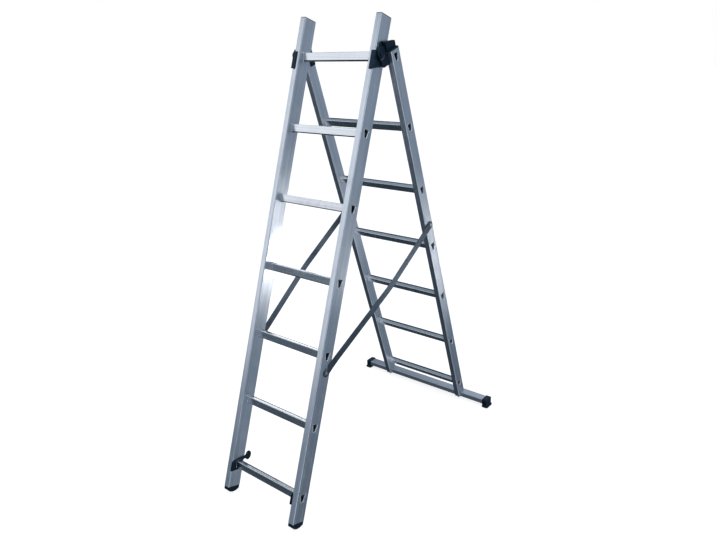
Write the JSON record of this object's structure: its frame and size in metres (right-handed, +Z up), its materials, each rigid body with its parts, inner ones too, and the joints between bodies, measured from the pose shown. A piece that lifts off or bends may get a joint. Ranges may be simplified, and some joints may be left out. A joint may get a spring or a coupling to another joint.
{
  "type": "combination ladder",
  "caption": "Aluminium combination ladder open as a stepladder: a sliding front section hinged to a wider rear section with side braces and a stabiliser bar.",
  "frame": {"origin": "on the floor under the middle of the open ladder's outline", "axes": "+X across the ladder to the right seen from the front, +Y to the back, +Z up"},
  "size_m": [0.77, 1.2638, 1.8566],
  "materials": {
    "stile_aluminium": "extruded mill finish, satin with fine lines along the stile",
    "rung_aluminium": "extruded mill finish with a grooved tread",
    "black_plastic": "moulded black polyamide, satin",
    "foot_rubber": "moulded black rubber",
    "brace_steel": "dark grey passivated steel strip",
    "bright_steel": "zinc-plated steel"
  },
  "bodies": {
    "brace_left": {"brace_left": "brace_steel"},
    "brace_right": {"brace_right": "brace_steel"},
    "rear_section": {"brace_rivet_left": "bright_steel", "brace_rivet_right": "bright_steel", "bracket_rivets": "bright_steel", "hinge_bracket_left": "black_plastic", "hinge_bracket_right": "black_plastic", "rear_rung_1": "rung_aluminium", "rear_rung_2": "rung_aluminium", "rear_rung_3": "rung_aluminium", "rear_rung_4": "rung_aluminium", "rear_rung_5": "rung_aluminium", "rear_rung_6": "rung_aluminium", "rear_rung_7": "rung_aluminium", "rear_stile_left": "stile_aluminium", "rear_stile_right": "stile_aluminium", "stabiliser_bar": "stile_aluminium", "stabiliser_bolts": "bright_steel", "stabiliser_shoe_left": "black_plastic", "stabiliser_shoe_right": "black_plastic", "stile_seat_plug_left": "black_plastic", "stile_seat_plug_right": "black_plastic"},
    "front_section": {"brace_stud_left": "bright_steel", "brace_stud_right": "bright_steel", "front_foot_left": "foot_rubber", "front_foot_right": "foot_rubber", "front_rung_1": "rung_aluminium", "front_rung_2": "rung_aluminium", "front_rung_3": "rung_aluminium", "front_rung_4": "rung_aluminium", "front_rung_5": "rung_aluminium", "front_rung_6": "rung_aluminium", "front_rung_7": "rung_aluminium", "front_stile_left": "stile_aluminium", "front_stile_right": "stile_aluminium", "front_top_plug_left": "black_plastic", "front_top_plug_right": "black_plastic", "hook_rivets": "black_plastic", "rung_hook_left": "black_plastic", "rung_hook_right": "black_plastic"},
    "guides": {"guide_left": "black_plastic", "guide_right": "black_plastic", "hinge_pin_left": "black_plastic", "hinge_pin_right": "black_plastic"}
  },
  "joints": [
    {"name": "fold", "type": "hinge", "parent": "rear_section", "child": "guides", "pos_m": [0, -0.02649, 1.71354], "axis": [1, 0, 0], "range_deg": [0, 37.2]},
    {"name": "extend", "type": "slide", "parent": "guides", "child": "front_section", "axis": [0, 0.3271, 0.945], "range_m": [0, 1.12]},
    {"name": "brace_left_swing", "type": "hinge", "parent": "rear_section", "child": "brace_left", "pos_m": [0, 0.27397, 1.00903], "axis": [1, 0, 0], "range_deg": [0, 69.44]},
    {"name": "brace_right_swing", "type": "hinge", "parent": "rear_section", "child": "brace_right", "pos_m": [0, 0.27397, 1.00903], "axis": [1, 0, 0], "range_deg": [0, 69.44]}
  ],
  "couplings": [
    {"joint": "brace_left_swing", "follows": "fold", "ratio": 1.8614},
    {"joint": "brace_right_swing", "follows": "fold", "ratio": 1.8614}
  ]
}
